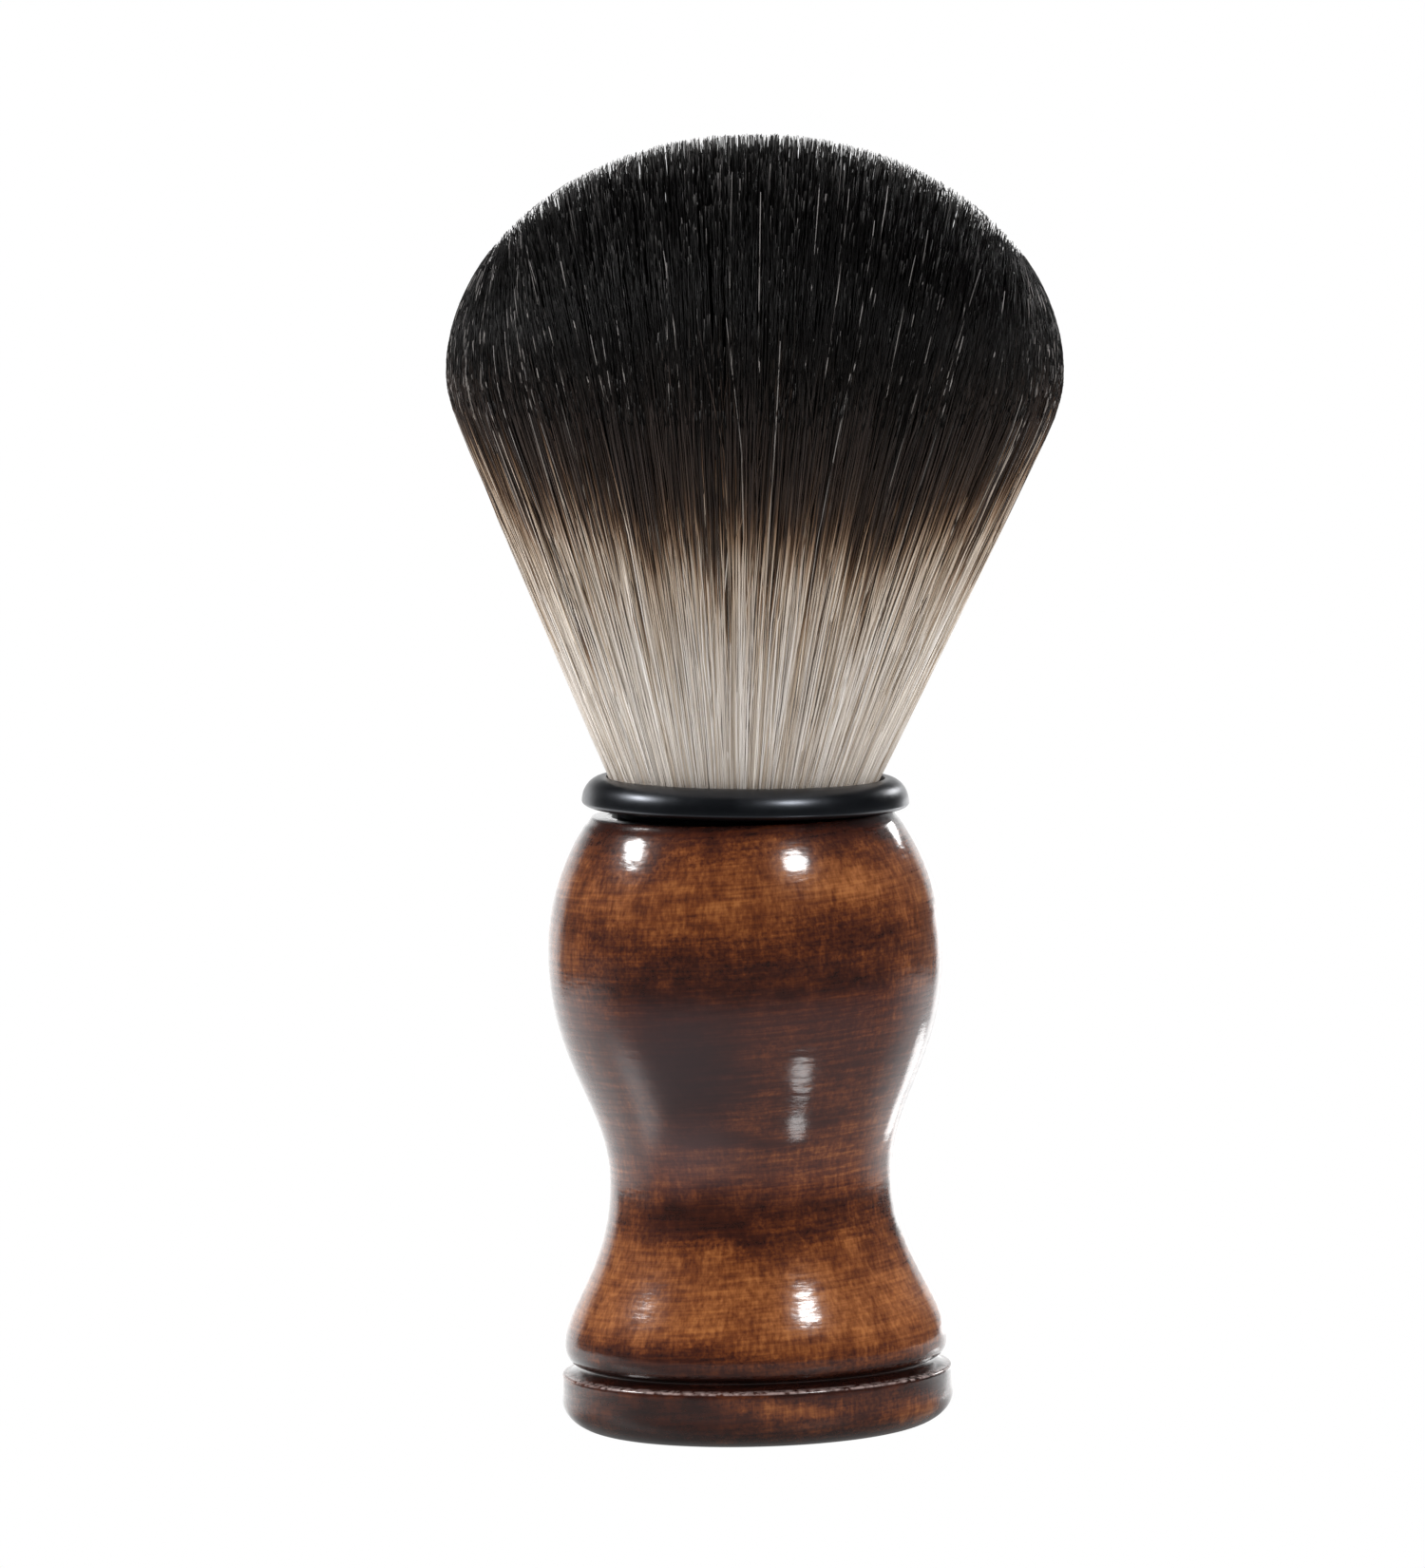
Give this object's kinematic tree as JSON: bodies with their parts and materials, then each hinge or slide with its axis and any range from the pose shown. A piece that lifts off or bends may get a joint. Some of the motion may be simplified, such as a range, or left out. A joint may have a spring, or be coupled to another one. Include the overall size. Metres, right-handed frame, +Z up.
{
  "type": "fade brush",
  "caption": "Short hand brush with a wide domed fan of fine bristles, a black collar bead and a turned, varnished hardwood handle with a grooved foot.",
  "frame": {"origin": "centre of the flat base that the brush stands on", "axes": "+Z up along the turning axis, from the foot to the bristle tips; X and Y are equal, because every piece is turned"},
  "size_m": [0.0494, 0.0494, 0.1036],
  "materials": {
    "stained_wood": "gloss",
    "black_plastic": "satin",
    "bristle": "satin",
    "cast_resin": "gloss",
    "thread": "matte",
    "adhesive": "gloss"
  },
  "bodies": {
    "root": {"handle": "stained_wood", "collar_ring": "black_plastic", "bristle_knot": "bristle", "resin_plug": "cast_resin", "binding_thread": "thread", "socket_adhesive": "adhesive"}
  },
  "joints": []
}
